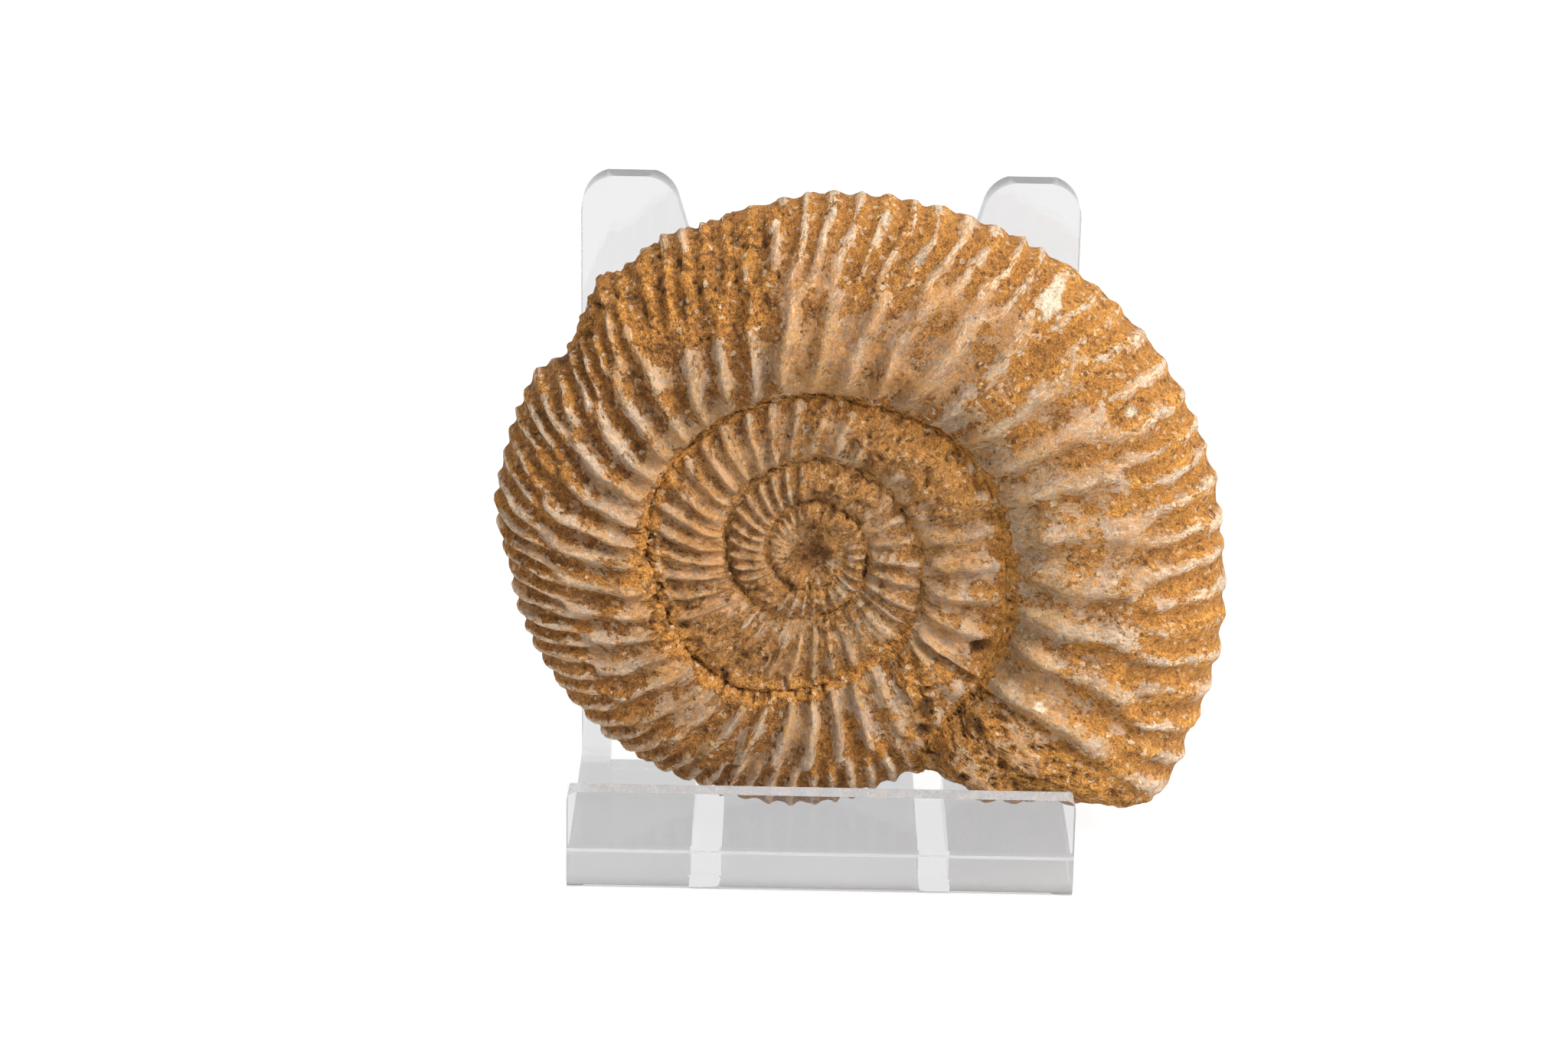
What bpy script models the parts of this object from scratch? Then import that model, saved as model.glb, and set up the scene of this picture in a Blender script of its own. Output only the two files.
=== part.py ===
# Fossil ammonite resting on a clear display stand bent from one sheet.
import math

import bmesh
import bpy
import numpy as np

MM = 0.001

# Ammonite: overall form, in millimetres in its own plane (u right, v up, w towards the front).
SPECIMEN_SCALE = 1.0
HALF_THICKNESS = 15.8
INNER_LEVEL = 7.2
GROWTH_FALL = 1.1
RIBS_PER_TURN = 40
PRIMARY_RELIEF = 0.72
SECONDARY_RELIEF = 0.52
APERTURE_ANGLE = -36.0
BREAK_START = 332.0
LEAN_DEG = 5.0
COLUMNS = 160
RINGS = 28

# The outline as seen from the front, angle in degrees and radius in millimetres.
OUTLINE = (
    (-64, 38.8), (-57, 41.0), (-51, 47.6), (-42, 56.2), (-38.6, 62.2), (-35, 68.2),
    (-31, 69.0), (-22, 68.2), (-12, 68.4), (0, 67.2), (11.5, 67.0), (26, 65.9), (37, 64.6),
    (52, 62.3), (64, 60.8), (80, 59.3), (88, 59.0), (97, 57.7), (108, 56.7), (117, 57.1),
    (125, 56.1), (128.4, 57.0), (133, 55.2), (138, 53.4), (143, 52.2), (148, 54.0),
    (157, 53.2), (165, 52.6), (170, 52.5), (176, 51.2), (184, 49.1), (195, 47.8),
    (208, 46.1), (222, 44.3), (239, 41.9), (255, 40.5), (270, 40.0), (285, 39.2), (296, 38.8),
)

# The seam between the whorls, followed inwards from the aperture.
SEAM = (
    (-28, 36.5), (-14, 34.0), (8, 34.0), (21, 32.9), (36, 31.6), (50, 31.6), (75, 30.4),
    (92, 28.2), (110, 26.8), (150, 26.6), (175, 27.3), (195, 28.0), (215, 27.0), (235, 25.6),
    (275, 24.5), (290, 22.8), (305, 21.2), (325, 19.8), (360, 19.4), (390, 17.9), (440, 16.2),
    (496, 15.6), (550, 15.0), (580, 13.8), (620, 12.2), (660, 10.4), (756, 9.0), (846, 8.6),
    (936, 7.1), (1026, 5.9), (1116, 5.0), (1300, 3.4), (1480, 2.6),
)

# The viewing geometry that foreshortens the measured outline.
VIEW_DISTANCE = 580.5
VIEW_FOCAL = 573.4
VIEW_TILT_DEG = 17.4
CENTRE_RISE = 1.64

# Display stand, in millimetres (y backwards from the foot of the lip, z up).
STAND_WIDTH = 82.4
SHEET = 4.9
LIP_HEIGHT = 17.3
LIP_LEAN_DEG = 9.0
BEND_INNER = 1.6
FRONT_EDGE = 3.2
PANEL_FRONT = 42.2
PANEL_LEAN_DEG = 3.0
PANEL_HEIGHT = 107.2
PRONG_WIDTH = 16.2
PRONG_CORNER = 5.8
NOTCH_FLARE_DEG = 17.0
NOTCH_BOTTOM = 45.0
WINDOW_HALF = 36.2
WINDOW_TOP = 30.0
TONGUE_HALF = 16.1
SLOT_WIDTH = 5.0
FOOT_REACH = 62.0
STAND_OFFSET = -6.4
COIL_OFFSET = -8.5
REST_GAP = 0.3


def clear_scene():
    for item in list(bpy.data.objects):
        bpy.data.objects.remove(item, do_unlink=True)


def smooth(low, high, value):
    part = np.clip((value - low) / (high - low), 0.0, 1.0)
    return part * part * (3.0 - 2.0 * part)


def outline_radius():
    """Radius of the rim in the plane of the coil, for a full turn in steps of one degree."""
    tilt = math.radians(VIEW_TILT_DEG)
    angles = np.radians([pair[0] for pair in OUTLINE])
    radii = np.array([pair[1] for pair in OUTLINE])
    across = radii * np.cos(angles)
    above = radii * np.sin(angles) - CENTRE_RISE
    v = above * VIEW_DISTANCE / (VIEW_FOCAL * math.cos(tilt) + above * math.sin(tilt))
    u = across * (VIEW_DISTANCE - v * math.sin(tilt)) / VIEW_FOCAL
    turned = np.degrees(np.unwrap(np.arctan2(v, u)))
    reach = np.hypot(u, v)
    turned = np.append(turned[:-1], turned[0] + 360.0)
    reach = np.append(reach[:-1], reach[0])
    steps = np.arange(-90.0, 451.0)
    wrapped = (steps - turned[0]) % 360.0 + turned[0]
    return steps, np.interp(wrapped, turned, reach)


RIM_ANGLES, RIM_RADII = outline_radius()


def rim(angle_deg):
    wrapped = (angle_deg + 90.0) % 360.0 - 90.0
    return np.interp(wrapped, RIM_ANGLES, RIM_RADII)


def seam(turned):
    """Radius of the seam after so many degrees inwards from the aperture."""
    places = [pair[0] for pair in SEAM]
    radii = [pair[1] for pair in SEAM]
    total = 0.0
    for shift in (-8.0, -4.0, 0.0, 4.0, 8.0):
        total = total + np.interp(turned + shift, places, radii)
    angle = np.radians(turned + APERTURE_ANGLE)
    stretch = np.sqrt(np.cos(angle) ** 2 + (np.sin(angle) / 0.955) ** 2)
    sink = 0.9 * np.sin(angle) * np.clip((720.0 - turned) / 360.0, 0.0, 1.0)
    return total / 5.0 * stretch - sink


def flank_level(turned):
    return INNER_LEVEL + (HALF_THICKNESS - INNER_LEVEL) * np.exp(-turned / 360.0 * GROWTH_FALL)


def seam_level(turned):
    return 5.7 + 2.2 * np.exp(-turned / 360.0 * GROWTH_FALL)


def open_whorl(part, turned, blunt, width):
    """Level of the last whorl from its seam (part 0) to the rim (part 1)."""
    low = seam_level(turned)
    high = low + (flank_level(turned) - low) * width
    wall = low + (high - low) * (1.0 - (1.0 - np.clip(part / 0.3, 0.0, 1.0)) ** 2.8)
    out = np.clip((part - 0.3) / 0.7, 0.0, 1.0)
    power = 2.4 + 2.2 * blunt
    fall = high * np.clip(1.0 - out ** power, 0.0, 1.0) ** (0.55 - 0.15 * blunt)
    return np.where(part < 0.3, wall, fall)


def covered_whorl(part, turned):
    """Level of an inner whorl between two turns of the seam."""
    low = seam_level(turned)
    high = flank_level(turned)
    outer = seam_level(turned - 360.0)
    wall = low + (high - low) * (1.0 - (1.0 - np.clip(part / 0.45, 0.0, 1.0)) ** 2.6)
    fall = high - (high - outer) * np.clip((part - 0.45) / 0.55, 0.0, 1.0) ** 2.6
    return np.where(part < 0.45, wall, fall)


def rib_phase(angle_deg):
    """Count of primary ribs up to an angle; the ribs stand wider apart on the right."""
    turn = angle_deg / 360.0
    return RIBS_PER_TURN * (turn - 0.022 * np.sin(2.0 * math.pi * (turn - 0.03)))


def rib_lean(angle_deg):
    return 7.5 + 8.5 * np.cos(np.radians(angle_deg - 152.0))


def wave(u, v, w, size, seed):
    """Smooth unevenness made of a few crossed waves."""
    total = 0.0
    for step in range(1, 5):
        turn = seed + step * 2.4
        total = total + np.sin((u * math.cos(turn) + v * math.sin(turn) + w * 0.7) * step / size
                               + turn * 3.1) / step ** 0.6
    return total / 2.6


def zone(angle_deg, radius, middle_angle, half_angle, middle_radius, half_radius):
    away = np.abs((angle_deg - middle_angle + 180.0) % 360.0 - 180.0) / half_angle
    apart = np.abs(radius - middle_radius) / half_radius
    return 1.0 - smooth(0.75, 1.05, np.maximum(away, apart))


def ammonite_level(radius, angle_deg, front):
    """Base level and relief of one face at a radius and an angle."""
    turned = (angle_deg - APERTURE_ANGLE) % 360.0
    limit = rim(angle_deg)
    inner = [seam(turned), seam(turned + 360.0), seam(turned + 720.0), seam(turned + 1080.0)]

    part = np.clip((radius - inner[0]) / (limit - inner[0]), 0.0, 1.0)
    level = open_whorl(part, turned, 0.0, 1.0)
    spread = part
    strength = np.ones_like(radius)

    ahead = turned - 360.0
    under = seam(np.maximum(ahead, -28.0))
    over = np.clip((radius - under) / np.maximum(limit - under, 0.5), 0.0, 1.0)
    width = np.clip((limit - under) / 14.0, 0.0, 1.0)
    piece = open_whorl(over, ahead, 0.15, width)
    covered = np.clip((radius - inner[0]) / (under - inner[0]), 0.0, 1.0)
    broken = np.where(radius > under, piece, covered_whorl(covered, turned))
    share = smooth(BREAK_START, BREAK_START + 10.0, turned)
    level = level * (1.0 - share) + broken * share
    spread = np.where((share > 0.5) & (radius > under), over, spread)
    spread = np.where((share > 0.5) & (radius <= under), covered * 0.6, spread)

    for index in range(3):
        part = (radius - inner[index + 1]) / (inner[index] - inner[index + 1])
        inside = (radius < inner[index])
        part = np.clip(part, 0.0, 1.0)
        stage = turned + 360.0 * (index + 1)
        level = np.where(inside, covered_whorl(part, stage), level)
        spread = np.where(inside, part * 0.52, spread)
        strength = np.where(inside, 0.62 / (1.0 + 0.55 * index), strength)
    core = smooth(9.0, 4.0, radius)
    level = level * (1.0 - core) + (6.6 - 1.1 * smooth(4.0, 0.0, radius)) * core
    strength = strength * (1.0 - 0.9 * core)

    straight = angle_deg + rib_lean(angle_deg) * (spread - 0.3)
    phase = rib_phase(straight)
    primary = np.cos(2.0 * math.pi * phase)
    secondary = -np.cos(4.0 * math.pi * phase)
    split = smooth(0.5, 0.68, spread)
    wall = smooth(0.0, 0.1, spread)
    ribs = wall * ((1.0 - split) * primary * PRIMARY_RELIEF + split * secondary * SECONDARY_RELIEF)

    calm = np.ones_like(radius)
    relief = np.zeros_like(radius)
    if front:
        patch = zone(angle_deg, radius, 113.0, 16.0, 48.5, 8.2)
        relief = relief - 0.75 * patch
        calm = calm * (1.0 - 0.35 * patch)
        rough = zone(angle_deg, radius, 137.0, 7.0, 54.5, 3.2)
        relief = relief - 0.7 * rough
        for place in ((48.0, 30.0, 25.0, 4.6), (230.0, 20.0, 20.5, 4.2), (311.0, 7.0, 24.5, 6.0)):
            fill = zone(angle_deg, radius, *place)
            calm = calm * (1.0 - 0.8 * fill)
            relief = relief + 0.5 * fill
    end = smooth(-30.0, -40.0, (angle_deg + 180.0) % 360.0 - 180.0) * (radius > under)
    end = end * smooth(BREAK_START - 8.0, BREAK_START, turned)
    calm = calm * (1.0 - 0.7 * end)
    crossing = smooth(BREAK_START - 8.0, BREAK_START + 2.0, turned)
    crossing = crossing * smooth(360.0, 352.0, turned) * (radius < under)
    calm = calm * (1.0 - 0.85 * crossing)
    return level, relief + ribs * calm * strength


def ring_radius(ring, angle_deg):
    """Radius of each ring of the face: the rings follow the whorls and their seams."""
    turned = (angle_deg - APERTURE_ANGLE) % 360.0
    held = np.minimum(turned, BREAK_START)
    back = np.clip((turned - BREAK_START) / (360.0 - BREAK_START), 0.0, 1.0)
    lines = []
    for lap in (0.0, 360.0, 720.0):
        lines.append(seam(held + lap) * (1.0 - back) + seam(lap) * back)
    limit = rim(angle_deg)
    outer = (0.05, 0.16, 0.32, 0.54, 0.76, 0.93, 1.0)
    if ring >= 8:
        return lines[0] + (limit - lines[0]) * outer[ring - 8]
    if ring >= 5:
        share = (0.22, 0.66, 1.0)[ring - 5]
        return lines[1] + (lines[0] - lines[1]) * share
    if ring >= 3:
        return lines[2] + (lines[1] - lines[2]) * (0.5, 1.0)[ring - 3]
    return lines[2] * ring / 2.0


def soften(points, angle, radius):
    """Even out the broken sector, where the whorls end and the rings cross the seam."""
    turned = (angle - APERTURE_ANGLE) % 360.0
    share = smooth(BREAK_START - 2.0, BREAK_START + 6.0, turned) + smooth(3.0, 0.0, turned)
    share = share * smooth(1.0, 0.9, radius / rim(angle)) * 0.5
    for step in range(2):
        around = np.roll(points, 1, axis=1) + np.roll(points, -1, axis=1)
        around[1:-1] += points[2:] + points[:-2]
        around[1:-1] *= 0.25
        around[0] = points[0]
        around[-1] = points[-1]
        points = points + (around - points) * share[..., None]
    return points


def ammonite_points():
    """Positions of all rings and columns in the frame of the coil, front pole first."""
    half = RINGS // 2
    spots = np.linspace(-40.0, 400.0, 4401)
    counts = rib_phase(spots)
    start = rib_phase(np.array(0.0))
    columns = np.interp(start + np.arange(COLUMNS) * RIBS_PER_TURN / COLUMNS, counts, spots)
    points = np.zeros((RINGS + 1, COLUMNS, 3))
    reliefs = np.zeros((RINGS + 1, COLUMNS))
    angles = np.zeros((RINGS + 1, COLUMNS))
    radii = np.zeros((RINGS + 1, COLUMNS))
    outer = (0.0, 0.05, 0.16, 0.32, 0.54, 0.76, 0.93, 1.0)
    inner = (0.0, 0.2, 0.0, 0.26, 0.0, 0.11, 0.34)
    for ring in range(RINGS + 1):
        front = ring <= half
        step = ring if front else RINGS - ring
        share = outer[step - 7] if step >= 7 else inner[step]
        angle = columns - rib_lean(columns) * (share - 0.3) * (1.0 if step else 0.0)
        radius = ring_radius(step, angle) if step else np.zeros(COLUMNS)
        level, relief = ammonite_level(radius, angle, front)
        if step == half:
            level = level * 0.0
        side = 1.0 if front else -1.0
        turn = np.radians(angle)
        points[ring, :, 0] = radius * np.cos(turn)
        points[ring, :, 1] = radius * np.sin(turn)
        points[ring, :, 2] = level * side
        reliefs[ring] = relief
        angles[ring] = angle
        radii[ring] = radius
    along = np.roll(points, -1, axis=1) - np.roll(points, 1, axis=1)
    across = np.zeros_like(points)
    across[1:-1] = points[2:] - points[:-2]
    normal = np.cross(across, along)
    length = np.linalg.norm(normal, axis=2, keepdims=True)
    normal = normal / np.maximum(length, 1e-9)
    normal[0] = (0.0, 0.0, 1.0)
    normal[-1] = (0.0, 0.0, -1.0)
    bumps = wave(points[..., 0], points[..., 1], points[..., 2], 3.4, 0.7) * 0.16
    shift = (reliefs + bumps)[..., None]
    points = soften(points + normal * shift, angles, radii)
    points[0] = points[0].mean(axis=0)
    points[-1] = points[-1].mean(axis=0)
    return points * SPECIMEN_SCALE


def lean_back(points):
    """Tip the coil back about the x axis; the face looks towards -Y."""
    lean = math.radians(LEAN_DEG)
    u = points[..., 0]
    v = points[..., 1]
    w = points[..., 2]
    y = v * math.sin(lean) - w * math.cos(lean)
    z = v * math.cos(lean) + w * math.sin(lean)
    return np.stack((u, y, z), axis=-1)


def panel_face(z):
    """Front face of the back panel at a height."""
    return PANEL_FRONT + (z - 8.0) * math.tan(math.radians(PANEL_LEAN_DEG))


def settle(points):
    """Set the leaning coil down on the base and back against the panel."""
    placed = points.copy()
    placed[..., 0] += COIL_OFFSET
    placed[..., 2] += SHEET + REST_GAP - placed[..., 2].min()
    beside = np.abs(placed[..., 0] - STAND_OFFSET)
    over_panel = (beside < STAND_WIDTH / 2.0) & (placed[..., 2] < PANEL_HEIGHT)
    inner_edge = prong_inner(placed[..., 2])
    held = over_panel & ((beside > inner_edge) | (placed[..., 2] < NOTCH_BOTTOM))
    room = np.where(held, panel_face(placed[..., 2]) - REST_GAP - placed[..., 1], 1e9)
    placed[..., 1] += room.min()
    return placed


def prong_inner(z):
    """Half width of the notch between the prongs at a height."""
    top = STAND_WIDTH / 2.0 - PRONG_WIDTH
    return top - (PANEL_HEIGHT - 6.0 - z) * math.tan(math.radians(NOTCH_FLARE_DEG))


def build_ammonite(collection, shift):
    mesh = bpy.data.meshes.new("ammonite")
    form = bmesh.new()
    bmesh.ops.create_uvsphere(form, u_segments=COLUMNS, v_segments=RINGS, radius=1.0)
    placed = settle(lean_back(ammonite_points()))
    for vertex in form.verts:
        polar = math.acos(max(-1.0, min(1.0, vertex.co.z)))
        ring = int(round(polar / math.pi * RINGS))
        turn = math.atan2(vertex.co.y, vertex.co.x) / (2.0 * math.pi)
        column = int(round(turn * COLUMNS)) % COLUMNS
        spot = placed[ring, column]
        vertex.co = ((spot[0] + shift[0]) * MM, (spot[1] + shift[1]) * MM, spot[2] * MM)
    form.to_mesh(mesh)
    form.free()
    item = bpy.data.objects.new("ammonite", mesh)
    collection.objects.link(item)
    return item


def arc(centre, radius, start_deg, end_deg, steps):
    spots = []
    for step in range(steps + 1):
        turn = math.radians(start_deg + (end_deg - start_deg) * step / steps)
        spots.append((centre[0] + radius * math.cos(turn), centre[1] + radius * math.sin(turn)))
    return spots


def sheet_profile():
    """Side view of the bent sheet: lip, base and back panel with rounded bends."""
    outer = BEND_INNER + SHEET
    lip = math.radians(LIP_LEAN_DEG)
    back = math.radians(PANEL_LEAN_DEG)
    front_centre = (outer, outer)
    rear_centre = (PANEL_FRONT - BEND_INNER, outer)
    line = []
    # Outside of the lip from its top down, under the base and up the rear of the panel.
    rise = (math.sin(lip), math.cos(lip))
    away = (-math.cos(lip), math.sin(lip))
    foot = (front_centre[0] + away[0] * outer, front_centre[1] + away[1] * outer)
    reach = (LIP_HEIGHT - foot[1]) / rise[1]
    top_out = (foot[0] + rise[0] * reach, foot[1] + rise[1] * reach)
    top_in = (top_out[0] - away[0] * SHEET, top_out[1] - away[1] * SHEET)
    line.append(top_out)
    edge_height = foot[1] - FRONT_EDGE
    edge_centre = (foot[0] + (FRONT_EDGE - edge_height * away[1]) / -away[0], FRONT_EDGE)
    line += arc(edge_centre, FRONT_EDGE, 180.0 - LIP_LEAN_DEG, 270.0, 8)
    line += arc(rear_centre, outer, 270.0, 360.0 - PANEL_LEAN_DEG, 8)
    up = (math.sin(back), math.cos(back))
    side = (math.cos(back), -math.sin(back))
    start = (rear_centre[0] + side[0] * outer, rear_centre[1] + side[1] * outer)
    near = (rear_centre[0] + side[0] * BEND_INNER, rear_centre[1] + side[1] * BEND_INNER)
    climb = (PANEL_HEIGHT - near[1]) / up[1]
    line.append((start[0] + up[0] * climb, start[1] + up[1] * climb))
    line.append((near[0] + up[0] * climb, near[1] + up[1] * climb))
    line += arc(rear_centre, BEND_INNER, 360.0 - PANEL_LEAN_DEG, 270.0, 4)
    line += arc(front_centre, BEND_INNER, 270.0, 180.0 - LIP_LEAN_DEG, 4)
    line.append(top_in)
    return line


def prism(name, outline, along, low, high, collection):
    """Solid with a given outline, carried along x (outline y, z) or y (outline x, z)."""
    mesh = bpy.data.meshes.new(name)
    form = bmesh.new()
    ring = []
    for first, second in outline:
        if along == "x":
            ring.append(form.verts.new((low * MM, first * MM, second * MM)))
        else:
            ring.append(form.verts.new((first * MM, low * MM, second * MM)))
    face = form.faces.new(ring)
    push = bmesh.ops.extrude_face_region(form, geom=[face])
    moved = [part for part in push["geom"] if isinstance(part, bmesh.types.BMVert)]
    step = (high - low) * MM
    vector = (step, 0.0, 0.0) if along == "x" else (0.0, step, 0.0)
    bmesh.ops.translate(form, verts=moved, vec=vector)
    bmesh.ops.recalc_face_normals(form, faces=form.faces[:])
    form.to_mesh(mesh)
    form.free()
    item = bpy.data.objects.new(name, mesh)
    collection.objects.link(item)
    return item


def notch_outline():
    """Opening between the prongs with a rounded foot and rounded prong corners."""
    flare = math.radians(NOTCH_FLARE_DEG)
    half = STAND_WIDTH / 2.0
    top = PANEL_HEIGHT
    corner = PRONG_CORNER
    inner_top = half - PRONG_WIDTH
    centre = (inner_top + corner, top - corner)
    right = [(inner_top + corner + 1.5, top + 4.0), (centre[0] + 1.2, top + 0.02)]
    right += arc(centre, corner, 90.0, 180.0 - NOTCH_FLARE_DEG, 8)[1:]
    last = right[-1]
    foot = 4.0
    low = NOTCH_BOTTOM + foot
    slide = (last[1] - low) * math.tan(flare)
    low_x = last[0] - slide
    right.append((low_x, low))
    right += [(low_x - 1.0, NOTCH_BOTTOM + 1.4), (low_x - 2.6, NOTCH_BOTTOM)]
    left = [(-x, z) for x, z in reversed(right)]
    return right + left


def corner_outline(sign):
    """Piece cut away to round the outer top corner of a prong."""
    half = STAND_WIDTH / 2.0
    centre = (half - PRONG_CORNER, PANEL_HEIGHT - PRONG_CORNER)
    line = arc(centre, PRONG_CORNER, 0.0, 90.0, 8)
    line += [(centre[0] - 0.2, PANEL_HEIGHT + 4.0), (half + 4.0, PANEL_HEIGHT + 4.0)]
    line.append((half + 4.0, centre[1] - 0.2))
    return [(sign * x, z) for x, z in line]


def lip_corner(sign, up):
    """Piece cut away to round a corner of the lip as seen from the front."""
    half = STAND_WIDTH / 2.0
    size = 1.6
    if up:
        centre = (half - size, LIP_HEIGHT - size)
        line = arc(centre, size, 0.0, 90.0, 5)
        line += [(centre[0] - 0.1, LIP_HEIGHT + 3.0), (half + 3.0, LIP_HEIGHT + 3.0)]
        line.append((half + 3.0, centre[1] - 0.1))
    else:
        centre = (half - size, size)
        line = arc(centre, size, 270.0, 360.0, 5)
        line += [(half + 3.0, centre[1] + 0.1), (half + 3.0, -3.0), (centre[0] - 0.1, -3.0)]
    return [(sign * x, z) for x, z in line]


def box_outline(x_low, x_high, z_low, z_high):
    return [(x_low, z_low), (x_high, z_low), (x_high, z_high), (x_low, z_high)]


def build_stand(collection, cutters, shift):
    profile = sheet_profile()
    half = STAND_WIDTH / 2.0
    stand = prism("display_stand", profile, "x", -half, half, collection)
    tools = [("notch", notch_outline(), 25.0, 60.0)]
    tools.append(("window", box_outline(-WINDOW_HALF, WINDOW_HALF, -3.0, WINDOW_TOP),
                  PANEL_FRONT - BEND_INNER - 1.0, 60.0))
    for sign in (-1.0, 1.0):
        edge = sign * TONGUE_HALF
        far = sign * (TONGUE_HALF + SLOT_WIDTH)
        tools.append(("slot", box_outline(min(edge, far), max(edge, far), -3.0, SHEET + 0.8),
                      SHEET + BEND_INNER - 1.2, PANEL_FRONT))
        tools.append(("prong_corner", corner_outline(sign), 25.0, 60.0))
        tools.append(("lip_corner", lip_corner(sign, True), -5.0, 10.0))
    for name, outline, low, high in tools:
        cutter = prism(name, outline, "y", low, high, cutters)
        cutter.hide_render = True
        cutter.display_type = 'WIRE'
        cut = stand.modifiers.new(name, 'BOOLEAN')
        cut.operation = 'DIFFERENCE'
        cut.solver = 'EXACT'
        cut.object = cutter
    foot = prism("rear_foot", box_outline(-TONGUE_HALF + 0.02, TONGUE_HALF - 0.02, 0.02,
                                          SHEET - 0.02), "y", 24.0, FOOT_REACH, cutters)
    foot.hide_render = True
    foot.display_type = 'WIRE'
    join = stand.modifiers.new("rear_foot", 'BOOLEAN')
    join.operation = 'UNION'
    join.solver = 'EXACT'
    join.object = foot
    for item in [stand] + list(cutters.objects):
        item.location = ((STAND_OFFSET + shift[0]) * MM, shift[1] * MM, 0.0)
    return stand


def coat(item, name, colour, roughness, clear):
    material = bpy.data.materials.new(name)
    material.use_nodes = True
    shader = material.node_tree.nodes["Principled BSDF"]
    shader.inputs["Base Color"].default_value = (*colour, 1.0)
    shader.inputs["Roughness"].default_value = roughness
    if clear:
        shader.inputs["Transmission Weight"].default_value = 1.0
        shader.inputs["IOR"].default_value = 1.49
    material.diffuse_color = (*colour, 0.4 if clear else 1.0)
    item.data.materials.append(material)


def main():
    clear_scene()
    scene = bpy.context.scene
    collection = bpy.data.collections.new("fossil_ammonite")
    scene.collection.children.link(collection)
    cutters = bpy.data.collections.new("cutters")
    scene.collection.children.link(cutters)
    placed = settle(lean_back(ammonite_points()))
    low = min(min(spot[0] for spot in sheet_profile()), placed[..., 1].min())
    high = max(FOOT_REACH, placed[..., 1].max())
    middle_x = (placed[..., 0].min() + placed[..., 0].max()) / 2.0
    shift = (-middle_x, -(low + high) / 2.0)
    ammonite = build_ammonite(collection, shift)
    stand = build_stand(collection, cutters, shift)
    coat(ammonite, "fossil_stone", (0.52, 0.36, 0.19), 0.8, False)
    coat(stand, "clear_acrylic", (0.93, 0.95, 0.96), 0.05, True)
    print("ammonite", placed.reshape(-1, 3).min(axis=0), placed.reshape(-1, 3).max(axis=0))
    print("shift", shift)


main()
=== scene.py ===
# Fossil ammonite resting on a clear bent display stand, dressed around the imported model.
import math

import bmesh
import bpy
import numpy as np
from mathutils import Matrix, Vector, noise


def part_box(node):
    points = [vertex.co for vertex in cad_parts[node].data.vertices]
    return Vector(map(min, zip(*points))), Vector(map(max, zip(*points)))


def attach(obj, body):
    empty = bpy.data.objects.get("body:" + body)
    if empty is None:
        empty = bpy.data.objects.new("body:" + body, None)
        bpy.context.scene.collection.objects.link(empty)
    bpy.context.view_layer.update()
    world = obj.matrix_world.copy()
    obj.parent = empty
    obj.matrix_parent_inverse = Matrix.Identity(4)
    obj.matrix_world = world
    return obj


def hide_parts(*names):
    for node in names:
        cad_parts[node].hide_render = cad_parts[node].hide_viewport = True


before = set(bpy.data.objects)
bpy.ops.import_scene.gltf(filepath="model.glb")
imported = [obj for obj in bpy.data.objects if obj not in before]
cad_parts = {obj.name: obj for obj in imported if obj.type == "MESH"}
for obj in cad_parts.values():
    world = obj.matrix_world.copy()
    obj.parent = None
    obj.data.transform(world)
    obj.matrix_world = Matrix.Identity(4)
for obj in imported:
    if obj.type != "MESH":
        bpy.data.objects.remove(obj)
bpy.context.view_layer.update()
print("frame loaded")

mm = 0.001


# Shader building: a wire is one socket, and sums on wires add Math nodes.
class Wire:
    def __init__(self, recipe, socket):
        self.recipe = recipe
        self.socket = socket

    def sum(self, operation, *others):
        values = {0: self}
        for place, other in enumerate(others):
            values[place + 1] = other
        return self.recipe.node("ShaderNodeMath", {"operation": operation}, values)

    def __add__(self, other):
        return self.sum("ADD", other)

    def __sub__(self, other):
        return self.sum("SUBTRACT", other)

    def __mul__(self, other):
        return self.sum("MULTIPLY", other)

    def __radd__(self, other):
        return self.sum("ADD", other)

    def __rmul__(self, other):
        return self.sum("MULTIPLY", other)

    def __rsub__(self, other):
        return self.recipe.node("ShaderNodeMath", {"operation": "SUBTRACT"}, {0: other, 1: self})

    def clamp(self):
        return self.recipe.node("ShaderNodeClamp", {}, {0: self})

    def ease(self, low, high):
        return self.recipe.node("ShaderNodeMapRange", {"interpolation_type": "SMOOTHSTEP"},
                                {"Value": self, "From Min": low, "From Max": high})


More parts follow.
